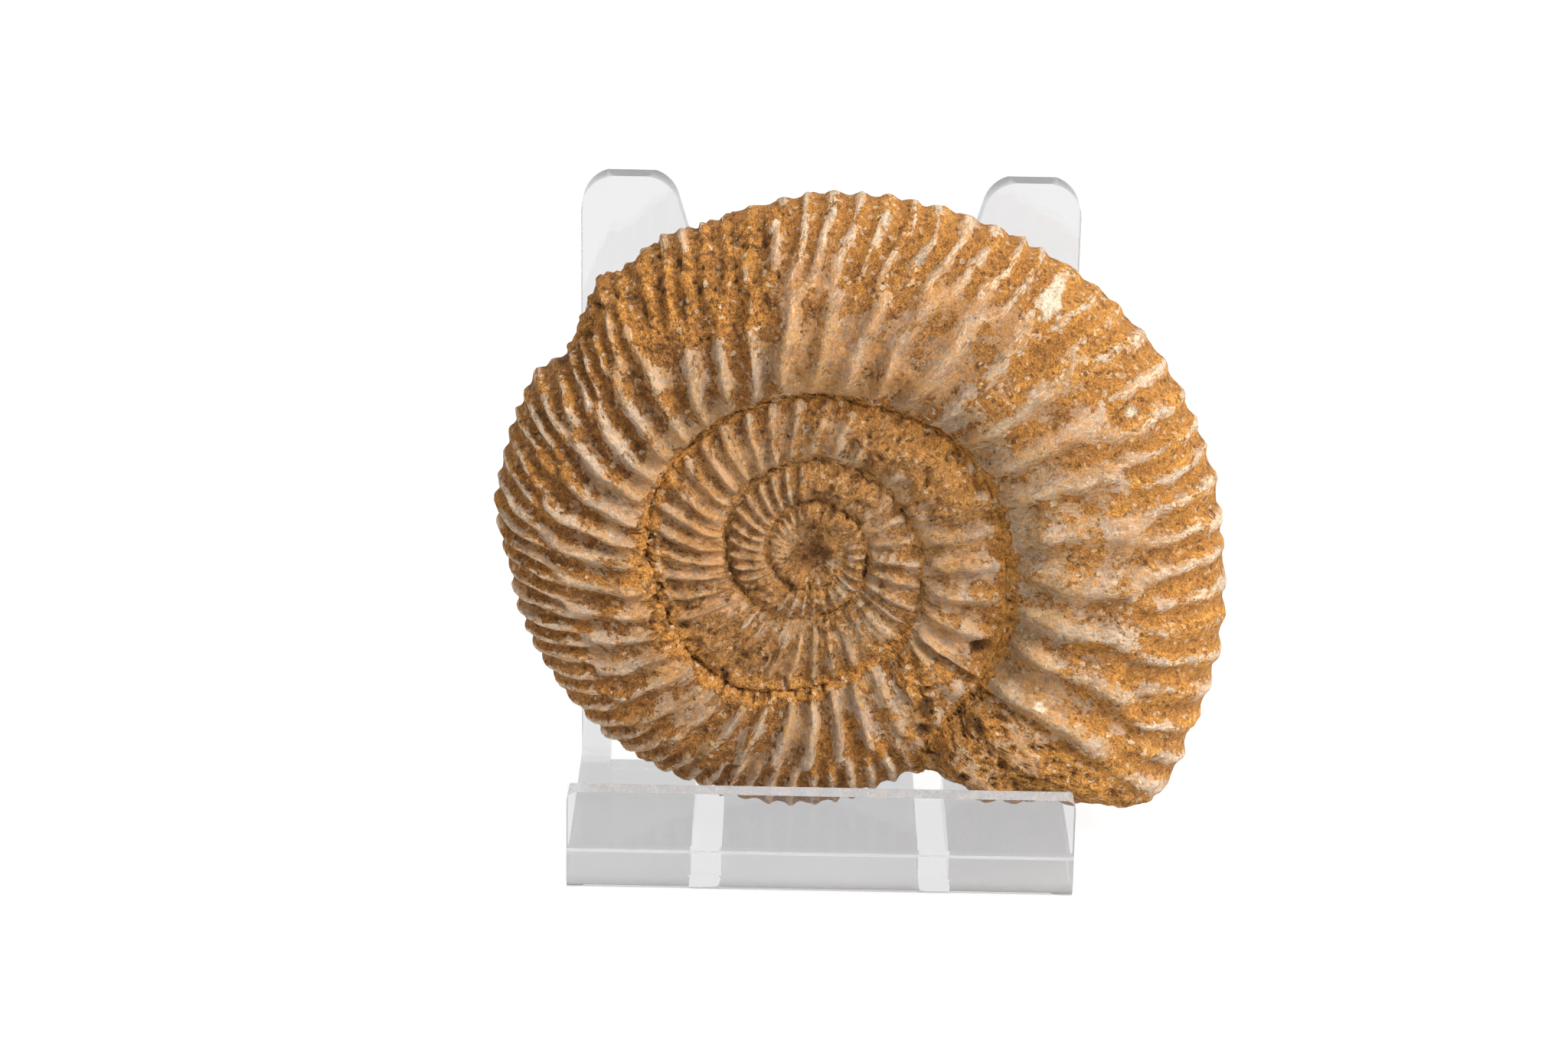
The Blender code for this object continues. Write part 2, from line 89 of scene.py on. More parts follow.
class Recipe:
    def __init__(self, name):
        self.material = bpy.data.materials.new(name)
        self.material.use_nodes = True
        self.tree = self.material.node_tree
        self.shader = self.tree.nodes["Principled BSDF"]

    def node(self, kind, settings, values, output=0):
        made = self.tree.nodes.new(kind)
        for name, value in settings.items():
            setattr(made, name, value)
        for name, value in values.items():
            self.feed(made.inputs[name], value)
        return Wire(self, made.outputs[output])

    def feed(self, socket, value):
        if isinstance(value, Wire):
            self.tree.links.new(value.socket, socket)
        elif isinstance(value, tuple) and len(value) == 3 and socket.type == "RGBA":
            socket.default_value = (*value, 1.0)
        else:
            socket.default_value = value

    def set(self, **values):
        for name, value in values.items():
            self.feed(self.shader.inputs[name.replace("_", " ")], value)

    def place(self, scale):
        spot = self.node("ShaderNodeTexCoord", {}, {}, "Object")
        return self.node("ShaderNodeVectorMath", {"operation": "SCALE"},
                         {0: spot, "Scale": scale})

    def mark(self, name):
        return self.node("ShaderNodeAttribute", {"attribute_name": name}, {}, "Fac")

    def cloud(self, spot, scale, detail=4.0, rough=0.6, warp=0.0):
        return self.node("ShaderNodeTexNoise", {},
                         {"Vector": spot, "Scale": scale, "Detail": detail,
                          "Roughness": rough, "Distortion": warp}, "Fac")

    def blend(self, share, first, second, mode="MIX"):
        return self.node("ShaderNodeMix", {"data_type": "RGBA", "blend_type": mode},
                         {0: share, 6: first, 7: second}, 2)

    def bump(self, height, strength, distance, under=None):
        values = {"Height": height, "Strength": strength, "Distance": distance}
        if under is not None:
            values["Normal"] = under
        return self.node("ShaderNodeBump", {}, values, "Normal")


def paint(red, green, blue):
    values = []
    for part in (red, green, blue):
        part = part / 255.0
        values.append(part / 12.92 if part <= 0.04045 else ((part + 0.055) / 1.055) ** 2.4)
    return tuple(values)


# The coil: the solid's whorls, seams and outer ribs on a much finer skin, fewer ribs inside.
coil = {
    "thickness": 15.8, "innerLevel": 7.2, "growthFall": 1.1, "ribsPerTurn": 40,
    "primary": 0.98, "secondary": 0.64, "apertureAngle": -36.0, "breakStart": 332.0,
    "lean": 5.0, "columns": 720, "ribLoss": 0.1, "boxGap": 0.00002,
    "streakRing": 6.37, "streakFade": 14.0,
    "patchDepth": 0.85, "wornDepth": 0.6, "hollowDepth": 1.1, "grooveDepth": 0.8,
    "cavityDepth": 0.6, "chipHeight": 0.3,
    "patch": (113.0, 16.5, 48.3, 8.4), "worn": (137.0, 8.0, 54.5, 3.6),
    "fills": ((48.0, 30.0, 25.0, 4.6), (230.0, 20.0, 20.5, 4.2), (311.0, 7.0, 24.5, 6.0)),
    "holes": ((-27.5, 31.6, 1.8, 1.3), (-52.3, 32.0, 2.0, 1.6), (-48.3, 29.2, 0.9, 0.8),
              (-57.0, 35.5, 1.5, 1.0), (-44.0, 38.5, 1.4, 0.7)),
    "chips": ((49.5, 57.5, 2.5), (27.4, 57.0, 1.2), (-31.0, 44.0, 0.9)),
    "frontRings": (12, 14, 24, 50), "backRings": (6, 6, 8, 16),
}

# Angle and reach of the rim as the photo shows it.
outline = (
    (-64, 38.8), (-57, 41.0), (-51, 47.6), (-42, 56.2), (-38.6, 62.2), (-35, 68.2),
    (-31, 69.0), (-22, 68.2), (-12, 68.4), (0, 67.2), (11.5, 67.0), (26, 65.9), (37, 64.6),
    (52, 62.3), (64, 60.8), (80, 59.3), (88, 59.0), (97, 57.7), (108, 56.7), (117, 57.1),
    (125, 56.1), (128.4, 57.0), (133, 55.2), (138, 53.4), (143, 52.2), (148, 54.0),
    (157, 53.2), (165, 52.6), (170, 52.5), (176, 51.2), (184, 49.1), (195, 47.8),
    (208, 46.1), (222, 44.3), (239, 41.9), (255, 40.5), (270, 40.0), (285, 39.2), (296, 38.8),
)

# Turn from the mouth and reach of the seam between whorls.
seamPlaces = (
    (-28, 36.5), (-14, 34.0), (8, 34.0), (21, 32.9), (36, 31.6), (50, 31.6), (75, 30.4),
    (92, 28.2), (110, 26.8), (150, 26.6), (175, 27.3), (195, 28.0), (215, 27.0), (235, 25.6),
    (275, 24.5), (290, 22.8), (305, 21.2), (325, 19.8), (360, 19.4), (390, 17.9), (440, 16.2),
    (496, 15.6), (550, 15.0), (580, 13.8), (620, 12.2), (660, 10.4), (756, 9.0), (846, 8.6),
    (936, 7.1), (1026, 5.9), (1116, 5.0), (1300, 3.4), (1480, 2.6),
)

photoView = {"distance": 580.5, "focal": 573.4, "tilt": 17.4, "rise": 1.64}


def smooth(low, high, value):
    part = np.clip((value - low) / (high - low), 0.0, 1.0)
    return part * part * (3.0 - 2.0 * part)


def rimTable():
    tilt = math.radians(photoView["tilt"])
    angles = np.radians([pair[0] for pair in outline])
    radii = np.array([pair[1] for pair in outline])
    across = radii * np.cos(angles)
    above = radii * np.sin(angles) - photoView["rise"]
    deep = photoView["focal"] * math.cos(tilt) + above * math.sin(tilt)
    v = above * photoView["distance"] / deep
    u = across * (photoView["distance"] - v * math.sin(tilt)) / photoView["focal"]
    turned = np.degrees(np.unwrap(np.arctan2(v, u)))
    reach = np.hypot(u, v)
    turned = np.append(turned[:-1], turned[0] + 360.0)
    reach = np.append(reach[:-1], reach[0])
    steps = np.arange(-90.0, 451.0)
    wrapped = (steps - turned[0]) % 360.0 + turned[0]
    return steps, np.interp(wrapped, turned, reach)


rimAngles, rimRadii = rimTable()


def rim(angle):
    return np.interp((angle + 90.0) % 360.0 - 90.0, rimAngles, rimRadii)


def seam(turned):
    places = [pair[0] for pair in seamPlaces]
    radii = [pair[1] for pair in seamPlaces]
    total = 0.0
    for shift in (-8.0, -4.0, 0.0, 4.0, 8.0):
        total = total + np.interp(turned + shift, places, radii)
    angle = np.radians(turned + coil["apertureAngle"])
    sink = 0.9 * np.sin(angle) * np.clip((720.0 - turned) / 360.0, 0.0, 1.0)
    return total / 5.0 * np.sqrt(np.cos(angle) ** 2 + (np.sin(angle) / 0.955) ** 2) - sink


def growth(turned):
    return np.exp(-turned / 360.0 * coil["growthFall"])


def flankLevel(turned):
    return coil["innerLevel"] + (coil["thickness"] - coil["innerLevel"]) * growth(turned)


def seamLevel(turned):
    return 5.7 + 2.2 * growth(turned)


def openWhorl(part, turned, blunt, width):
    low = seamLevel(turned)
    high = low + (flankLevel(turned) - low) * width
    wall = low + (high - low) * (1.0 - (1.0 - np.clip(part / 0.3, 0.0, 1.0)) ** 2.8)
    out = np.clip((part - 0.3) / 0.7, 0.0, 1.0)
    fall = high * np.clip(1.0 - out ** (2.4 + 2.2 * blunt), 0.0, 1.0) ** (0.55 - 0.15 * blunt)
    return np.where(part < 0.3, wall, fall)


def coveredWhorl(part, turned):
    low = seamLevel(turned)
    high = flankLevel(turned)
    outer = seamLevel(turned - 360.0)
    wall = low + (high - low) * (1.0 - (1.0 - np.clip(part / 0.45, 0.0, 1.0)) ** 2.6)
    fall = high - (high - outer) * np.clip((part - 0.45) / 0.55, 0.0, 1.0) ** 2.6
    return np.where(part < 0.45, wall, fall)


def ribPhase(angle):
    turn = angle / 360.0
    return coil["ribsPerTurn"] * (turn - 0.022 * np.sin(2.0 * math.pi * (turn - 0.03)))


def ribLean(angle):
    return 7.5 + 8.5 * np.cos(np.radians(angle - 152.0))


def zone(angle, radius, middleAngle, halfAngle, middleRadius, halfRadius, ragged):
    away = np.abs((angle - middleAngle + 180.0) % 360.0 - 180.0) / halfAngle
    apart = np.abs(radius - middleRadius) / halfRadius
    return 1.0 - smooth(0.82, 1.0, np.maximum(away, apart) + ragged)


def hump(angle, middle, half):
    return np.exp(-(((angle - middle + 180.0) % 360.0 - 180.0) / half) ** 2)


def lumps(points, size, seed, octaves=3):
    flat = points.reshape(-1, 3)
    shift = Vector((seed * 17.3, seed * 5.9, seed * 11.1))
    values = np.array([noise.fractal(Vector(spot) / size + shift, 0.9, 2.1, octaves)
                       for spot in flat.tolist()])
    return values.reshape(points.shape[:-1])


def skinLevel(radius, angle, front, rough):
    turned = (angle - coil["apertureAngle"]) % 360.0
    limit = rim(angle)
    seams = [seam(turned + 360.0 * lap) for lap in range(4)]
    part = np.clip((radius - seams[0]) / (limit - seams[0]), 0.0, 1.0)
    level = openWhorl(part, turned, 0.0, 1.0)
    spread = part.copy()
    strength = np.ones_like(radius)
    toSeam = np.abs(radius - seams[0])

    ahead = turned - 360.0
    under = seam(np.maximum(ahead, -28.0))
    over = np.clip((radius - under) / np.maximum(limit - under, 0.5), 0.0, 1.0)
    width = np.clip((limit - under) / 14.0, 0.0, 1.0)
    piece = openWhorl(over, ahead, 0.15, width)
    covered = np.clip((radius - seams[0]) / (under - seams[0]), 0.0, 1.0)
    broken = np.where(radius > under, piece, coveredWhorl(covered, turned))
    share = smooth(coil["breakStart"], coil["breakStart"] + 10.0, turned)
    level = level * (1.0 - share) + broken * share
    spread = np.where((share > 0.5) & (radius > under), over, spread)
    spread = np.where((share > 0.5) & (radius <= under), covered * 0.6, spread)
    toSeam = np.where(share > 0.5, np.minimum(toSeam, np.abs(radius - under)), toSeam)

    for index in range(3):
        part = np.clip((radius - seams[index + 1]) / (seams[index] - seams[index + 1]), 0.0, 1.0)
        inside = radius < seams[index]
        level = np.where(inside, coveredWhorl(part, turned + 360.0 * (index + 1)), level)
        spread = np.where(inside, part * 0.52, spread)
        strength = np.where(inside, 0.66 / (1.0 + 0.5 * index), strength)
        toSeam = np.minimum(toSeam, np.abs(radius - seams[index + 1]))
    core = smooth(7.0, 3.0, radius)
    level = level * (1.0 - core) + (6.6 - 1.1 * smooth(4.0, 0.0, radius)) * core
    strength = strength * (1.0 - 0.95 * smooth(8.0, 5.0, radius))

    bent = ribLean(angle) * (spread - 0.3)
    laps = sum((radius < line).astype(float) for line in seams)
    phase = ribPhase(angle + bent) * (1.0 - coil["ribLoss"] * np.minimum(laps, 2.0))
    stray = rough["wander"] * 0.2 + rough["gap"] * 0.05
    phase = phase + stray
    swept = np.radians(angle + bent + stray * 9.0)
    ring = coil["streakRing"] * np.clip(radius / coil["streakFade"], 0.0, 1.0)
    primary = 2.0 * (0.5 + 0.5 * np.cos(2.0 * math.pi * phase)) ** 1.9 - 1.0
    secondary = 2.0 * (0.5 - 0.5 * np.cos(4.0 * math.pi * phase)) ** 1.5 - 1.0
    split = smooth(0.54, 0.74, spread + rough["wander"] * 0.1)
    wall = smooth(0.0, 0.12, spread)
    crest = (1.0 - split) * primary + split * secondary
    height = (1.0 - split) * primary * coil["primary"] + split * secondary * coil["secondary"]
    bold = 1.0 + 0.2 * hump(angle, 180.0, 55.0) + 0.3 * hump(angle, -15.0, 40.0)
    height = height * bold * (1.0 - 0.45 * smooth(0.86, 1.0, spread))
    height = height * wall * np.clip(0.9 + 0.45 * rough["broad"] + 0.35 * rough["gap"], 0.3, 1.5)

    calm = np.ones_like(radius)
    relief = np.zeros_like(radius)
    patch = np.zeros_like(radius)
    fillAll = np.zeros_like(radius)
    worn = np.zeros_like(radius)
    if front:
        ragged = rough["mid"] * 0.22
        patch = zone(angle, radius, *coil["patch"], ragged)
        relief = relief - coil["patchDepth"] * patch
        calm = calm * (1.0 - 0.2 * patch)
        worn = zone(angle, radius, *coil["worn"], ragged)
        relief = relief - coil["wornDepth"] * worn
        calm = calm * (1.0 - 0.7 * worn)
        for place in coil["fills"]:
            fill = zone(angle, radius, *place, ragged)
            calm = calm * (1.0 - 0.6 * fill)
            relief = relief + fill * (0.35 + 0.6 * rough["mid"])
            fillAll = np.maximum(fillAll, fill)
        # Crumbling matrix hides parts of the inner whorls, least on the right and upper left.
        bias = (0.38 * hump(angle, 48.0, 40.0) + 0.3 * hump(angle, 212.0, 34.0)
                - 0.35 * hump(angle, -12.0, 34.0) - 0.3 * hump(angle, 132.0, 34.0)
                + 0.2 * smooth(9.0, 3.0, radius))
        # The first whorls are lost in a ragged hollow.
        hollow = smooth(3.6, 1.0, radius + rough["mid"] * 1.6 + rough["cell"] * 0.8)
        relief = relief - coil["hollowDepth"] * hollow
        crumble = smooth(0.16, 0.5, rough["gap"] * 0.9 + rough["mid"] * 0.3 + bias)
        crumble = crumble * smooth(1.02, 0.96, radius / np.maximum(seams[0], 1.0))
        fillAll = np.maximum(fillAll, crumble)
        calm = calm * (1.0 - 0.6 * crumble)
        relief = relief + crumble * (0.2 + 0.8 * rough["mid"])
    end = smooth(coil["breakStart"] - 6.0, coil["breakStart"] + 4.0, turned) * (radius > under)
    calm = calm * (1.0 - 0.5 * end)
    pit = np.zeros_like(radius)
    chip = np.zeros_like(radius)
    if front:
        for chipAngle, chipReach, size in coil["chips"]:
            turn = np.radians(angle - chipAngle)
            apart = np.hypot(radius * np.cos(turn) - chipReach, radius * np.sin(turn) * 1.3)
            chip = np.maximum(chip, smooth(1.05, 0.85, apart / size + rough["cell"] * 0.7))
        relief = relief + coil["chipHeight"] * chip
        for holeAngle, holeReach, size, depth in coil["holes"]:
            turn = np.radians(angle - holeAngle)
            apart = np.hypot(radius * np.cos(turn) - holeReach, radius * np.sin(turn))
            pit = np.maximum(pit, smooth(1.15, 0.5, apart / size + rough["mid"] * 0.3))
            relief = relief - depth * smooth(1.1, 0.2, apart / size + rough["mid"] * 0.3)
    crossing = smooth(coil["breakStart"] - 8.0, coil["breakStart"] + 2.0, turned)
    crossing = crossing * smooth(360.0, 352.0, turned) * (radius < under)
    calm = calm * (1.0 - 0.6 * crossing)
    # Matrix fills the seam: a wide crumbly band on the left, a crisp gap at the top.
    lapOne = smooth(0.82, 0.95, radius / np.maximum(seams[0], 1.0))
    wide = 0.6 + lapOne * (2.3 * hump(angle, 190.0, 30.0) + 1.3 * hump(angle, 245.0, 34.0)
                           + 0.8 * hump(angle, -5.0, 30.0))
    wide = wide * (1.0 + 0.6 * np.clip(rough["gap"], -0.8, 1.0)) if front else wide
    band = np.exp(-(toSeam / wide) ** 4) * (1.0 - core)
    calm = calm * (1.0 - 0.85 * band)
    relief = relief + band * (0.5 * np.clip(wide - 0.6, 0.0, 2.0) + 0.12)
    groove = np.exp(-(toSeam / 0.35) ** 2) * np.clip(0.35 + rough["gap"] * 1.5, 0.0, 1.3)
    groove = groove * (1.0 - 0.7 * smooth(0.9, 1.6, wide)) * (1.0 - 0.6 * fillAll) * (1.0 - core)
    relief = relief - coil["grooveDepth"] * groove
    # Small cavities where the matrix has weathered out.
    soft = np.clip(band * smooth(0.9, 1.8, wide) + fillAll * 0.45 + worn * 0.6 + patch * 0.5
                   + end * 0.9, 0.0, 1.0)
    cavity = smooth(0.42, 0.62, rough["cell"] * 0.9 + soft * 0.3) * smooth(0.2, 0.6, soft)
    relief = relief - coil["cavityDepth"] * cavity
    pit = np.maximum(pit, cavity * 0.8)
    height = height * calm * strength

    marks = {
        "crest": 0.5 + 0.5 * crest * wall * calm, "spread": spread, "patch": patch,
        "seamNear": groove, "band": band, "fill": fillAll, "worn": np.maximum(worn, end),
        "inner": smooth(1.0, 0.82, radius / np.maximum(seams[0], 1.0)), "pit": pit,
        "ribSide": np.cos(swept) * ring, "ribUp": np.sin(swept) * ring, "reach": radius,
        "heart": smooth(5.5, 1.5, radius + rough["mid"] * 1.6), "chip": chip,
    }
    return level, relief + height, marks


def ringLines(angle):
    turned = (angle - coil["apertureAngle"]) % 360.0
    held = np.minimum(turned, coil["breakStart"])
    back = np.clip((turned - coil["breakStart"]) / (360.0 - coil["breakStart"]), 0.0, 1.0)
    lines = [rim(angle)]
    for lap in (0.0, 360.0, 720.0):
        lines.append(seam(held + lap) * (1.0 - back) + seam(lap) * back)
    lines.append(np.zeros_like(lines[0]))
    return lines


def ringSteps(counts):
    # Band of each ring from the pole to the rim, and its share of that band.
    steps = []
    for band, count in zip((3, 2, 1, 0), counts):
        for step in range(count):
            share = step / count
            if band == 0:
                share = 0.5 * share + 0.5 * math.sin(share * math.pi / 2.0)
            steps.append((band, share))
    return steps + [(0, 1.0)]


def buildAmmonite():
    front = ringSteps(coil["frontRings"])
    back = ringSteps(coil["backRings"])
    rings = front + back[:-1][::-1]
    half = len(front) - 1
    spots = np.linspace(-40.0, 400.0, 4401)
    start = ribPhase(np.array(0.0))
    turns = start + np.arange(coil["columns"]) * coil["ribsPerTurn"] / coil["columns"]
    columns = np.interp(turns, ribPhase(spots), spots)
    count = len(rings)
    radius = np.zeros((count, coil["columns"]))
    angle = np.zeros_like(radius)
    for ring, (band, share) in enumerate(rings):
        spread = share if band == 0 else share * 0.52
        turn = columns - ribLean(columns) * (spread - 0.3)
        lines = ringLines(turn)
        radius[ring] = lines[band + 1] + (lines[band] - lines[band + 1]) * share
        angle[ring] = turn
    turn = np.radians(angle)
    flat = np.stack((radius * np.cos(turn), radius * np.sin(turn), np.zeros_like(radius)), -1)
    flat[half + 1:, :, 2] = -12.0
    rough = {"mid": lumps(flat, 2.6, 1.0), "broad": lumps(flat, 9.0, 2.0),
             "wander": lumps(flat, 14.0, 3.0), "gap": lumps(flat, 6.0, 7.0),
             "cell": lumps(flat, 1.7, 9.0)}
    points = flat.copy()
    relief = np.zeros_like(radius)
    marks = {}
    for low, high, isFront in ((0, half + 1, True), (half + 1, count, False)):
        part = {name: value[low:high] for name, value in rough.items()}
        ragged = part["mid"] * 0.35 + part["gap"] * 0.3
        inside = np.clip((rim(angle[low:high]) - radius[low:high]) / 6.0, 0.0, 1.0)
        warped = radius[low:high] + ragged * inside * np.clip(radius[low:high] / 8.0, 0.0, 1.0)
        level, raised, found = skinLevel(warped, angle[low:high], isFront, part)
        points[low:high, :, 2] = level * (1.0 if isFront else -1.0)
        relief[low:high] = raised
        for name, value in found.items():
            marks.setdefault(name, []).append(value)
    points[half, :, 2] = 0.0
    marks = {name: np.concatenate(parts) for name, parts in marks.items()}
    along = np.roll(points, -1, axis=1) - np.roll(points, 1, axis=1)
    across = np.zeros_like(points)
    across[1:-1] = points[2:] - points[:-2]
    normal = np.cross(across, along)
    normal = normal / np.maximum(np.linalg.norm(normal, axis=2, keepdims=True), 1e-9)
    normal[0] = (0.0, 0.0, 1.0)
    normal[-1] = (0.0, 0.0, -1.0)
    grain = lumps(points, 1.5, 4.0, 4)
    lump = lumps(points, 5.0, 5.0, 3)
    coarse = np.clip(marks["patch"] * 0.6 + marks["worn"] + marks["fill"] * 0.9
                     + marks["inner"] * 0.25 + marks["band"] * 0.9 + 0.2, 0.0, 1.0)
    relief = relief + grain * (0.1 + 0.34 * coarse) + lump * (0.14 + 0.3 * coarse)
    points = points + normal * relief[..., None]
    points[0] = points[0].mean(axis=0)
    points[-1] = points[-1].mean(axis=0)
    print("ammonite skin shaped,", points.shape[0] * points.shape[1], "points")

    # The coil leans back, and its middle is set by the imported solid.
    lean = math.radians(coil["lean"])
    u, v, w = points[..., 0], points[..., 1], points[..., 2]
    placed = np.stack((u, v * math.sin(lean) - w * math.cos(lean),
                       v * math.cos(lean) + w * math.sin(lean)), -1) * mm
    low, high = (np.array(corner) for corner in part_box("ammonite"))
    wide = placed.reshape(-1, 3)
    placed = placed + ((low + high) - (wide.min(axis=0) + wide.max(axis=0))) / 2.0
    placed = np.clip(placed, low + coil["boxGap"], high - coil["boxGap"])

    mesh = bpy.data.meshes.new("ammonite_skin")
    form = bmesh.new()
    bmesh.ops.create_uvsphere(form, u_segments=coil["columns"], v_segments=count - 1, radius=1.0)
    where = np.zeros((len(form.verts), 2), dtype=int)
    for place, vertex in enumerate(form.verts):
        polar = math.acos(max(-1.0, min(1.0, vertex.co.z)))
        ring = int(round(polar / math.pi * (count - 1)))
        column = int(round(math.atan2(vertex.co.y, vertex.co.x) / (2.0 * math.pi)
                           * coil["columns"])) % coil["columns"]
        vertex.co = placed[ring, column]
        where[place] = (ring, column)
    for face in form.faces:
        face.smooth = True
    form.to_mesh(mesh)
    form.free()
    for name, value in marks.items():
        layer = mesh.attributes.new(name, "FLOAT", "POINT")
        layer.data.foreach_set("value", value[where[:, 0], where[:, 1]].astype(np.float32))
    piece = bpy.data.objects.new("ammonite_skin", mesh)
    bpy.context.scene.collection.objects.link(piece)
    return piece


stoneLook = {
    "ochreBright": paint(234, 166, 80), "ochre": paint(200, 136, 62), "brown": paint(138, 92, 48),
    "dark": paint(50, 31, 16), "oliveGrey": paint(158, 131, 96), "beige": paint(186, 158, 122),
    "lilac": paint(198, 175, 154), "fleck": paint(238, 218, 188), "tan": paint(180, 136, 86),
}
stoneFinish = {"bump": 0.0009, "roughness": 0.86, "shellPolish": 0.2, "specular": 0.35}


def stoneMaterial():
    look = stoneLook
    stone = Recipe("fossil_stone_fine")
    spot = stone.place(1000.0)
    crest = stone.mark("crest")
    spread = stone.mark("spread")
    patch = stone.mark("patch")
    seamNear = stone.mark("seamNear")
    band = stone.mark("band")
    fill = stone.mark("fill")
    worn = stone.mark("worn")
    inner = stone.mark("inner")
    pit = stone.mark("pit")
    heart = stone.mark("heart")
    # Streaks follow the ribs: two axes count ribs around the coil, the third runs outwards.
    ribSide = stone.mark("ribSide")
    ribUp = stone.mark("ribUp")
    reach = stone.mark("reach")
    along = stone.node("ShaderNodeCombineXYZ", {},
                       {0: ribSide * 7.0, 1: ribUp * 7.0, 2: reach * 0.3})
    streak = stone.cloud(along, 0.7, 5.0, 0.65, 0.5)
    thread = stone.cloud(along, 2.6, 4.0, 0.65, 0.4)
    # Shards of shell: long broken cells, each with its own shade.
    cells = stone.node("ShaderNodeCombineXYZ", {},
                       {0: ribSide * 2.3 + thread * 0.9, 1: ribUp * 2.3 + thread * 0.9,
                        2: reach * 0.3 + streak * 1.6})
    shard = stone.node("ShaderNodeTexVoronoi", {}, {"Vector": cells, "Scale": 1.0}, "Color")
    kept = stone.node("ShaderNodeSeparateColor", {}, {0: shard}, 0)
    shade = stone.node("ShaderNodeSeparateColor", {}, {0: shard}, 1)
    big = stone.cloud(spot, 0.06, 3.0, 0.6)
    mid = stone.cloud(spot, 0.24, 6.0, 0.66, 0.6)
    fine = stone.cloud(spot, 1.1, 5.0, 0.7)
    dust = stone.cloud(spot, 4.2, 3.0, 0.7)
    side = stone.node("ShaderNodeSeparateXYZ", {}, {0: spot}, 0)
    right = side.ease(-40.0, 50.0)
    # Remains of the shell over the rough ochre matrix.
    shell = (0.94 + crest * 0.14 + crest * spread * 0.62 - spread * 0.72 + (streak - 0.5) * 1.4
             + (mid - 0.5) * 1.1 + (big - 0.5) * 1.4 + (fine - 0.5) * 0.8 + (kept - 0.5) * 0.5
             + right * (1.0 - spread) * 0.2 - right * 0.08 - patch * 0.55 - worn * 0.3
             - fill * 0.45 - inner * 0.08 - pit * 1.2 - band * 1.0 - heart * 0.4)
    edge = shell.ease(0.66, 0.8)
    # Towards the right the matrix is painted brighter ochre: partly the stone's own ochre, partly
    # painted light from the right side.
    earth = (fine * 0.6 + mid * 0.5 + right * 0.12 + band * 0.1 + (dust - 0.5) * 0.5
             + (crest - 0.5) * 0.08 + (spread - 0.5) * 0.08)
    matrix = stone.blend(earth.ease(0.4, 0.62), look["brown"], look["ochre"])
    matrix = stone.blend(earth.ease(0.56, 0.8), matrix, look["ochreBright"])
    matrix = stone.blend((inner * 0.45 + band * 0.1).clamp(), matrix, look["tan"])
    clod = ((1.0 - mid) * 0.7 + (1.0 - fine) * 0.5 + (streak - 0.5) * 0.4).ease(0.66, 0.82)
    matrix = stone.blend(clod * 0.7, matrix, look["brown"])
    grey = stone.blend((mid * 0.4 + streak * 0.3 + crest * 0.2 + shade * 0.35).ease(0.42, 0.82),
                       look["oliveGrey"], look["beige"])
    ridge = (crest * spread * 0.5 + thread * 1.1 + (kept - 0.5) * 0.5 - 0.12).ease(0.45, 0.75)
    grey = stone.blend(ridge * 0.7, grey, look["lilac"])
    stain = (big * 0.45 + fine * 0.45 + streak * 0.15 + (dust - 0.5) * 0.3).ease(0.46, 0.62)
    grey = stone.blend(stain * 0.6, grey, look["ochre"])
    fleck = (thread * 0.6 + dust * 0.35 + crest * spread * 0.2).ease(0.6, 0.68)
    grey = stone.blend(fleck * 0.55, grey, look["fleck"])
    colour = stone.blend(edge, matrix, grey)
    line = (1.0 - (shell - 0.62).ease(0.0, 0.1)) * (shell - 0.5).ease(0.0, 0.1)
    colour = stone.blend(line * 0.5, colour, look["brown"])
    # Crumbs: single grains that are pale or missing.
    crumb = stone.node("ShaderNodeTexVoronoi", {}, {"Vector": spot, "Scale": 1.5}, "Color")
    crumb = stone.node("ShaderNodeSeparateColor", {}, {0: crumb}, 0)
    pale = crumb.ease(0.93, 0.97) * (1.0 - edge * 0.7) * (0.6 - inner * 0.3)
    colour = stone.blend(pale, colour, look["fleck"])
    rust = ((1.0 - thread) * 1.2 + (streak - 0.5) * 0.6 + (fine - 0.5) * 0.5).ease(0.66, 0.8)
    colour = stone.blend(rust * 0.65, colour, look["ochre"])
    # The furrows and the centre are painted brown: partly soil and stain lying there, partly
    # painted shade in the furrows and in the hollow centre.
    deep = ((1.0 - crest) * (0.3 + spread * 0.35) + (1.0 - mid) * 0.5
            + (streak - 0.5) * 0.5).ease(0.46, 0.8)
    colour = stone.blend((deep * 0.38 + heart * 0.55).clamp(), colour, look["brown"])
    # Pits, cavities, missing grains and the seam groove are painted near black: painted shade
    # inside these hollows.
    holes = ((1.0 - dust) * 0.5 + (1.0 - fine) * 0.6 + seamNear * 0.2 + worn * 0.06
             + band * 0.05 - edge * 0.1).ease(0.68, 0.84)
    empty = (1.0 - crumb).ease(0.9, 0.97) * (1.0 - edge * 0.8) * 0.45
    colour = stone.blend((holes * 0.8 + pit * 0.75 + empty).clamp(), colour, look["dark"])
    colour = stone.blend(stone.mark("chip"), colour, look["fleck"])
    speck = stone.cloud(spot, 2.2, 4.0, 0.75)
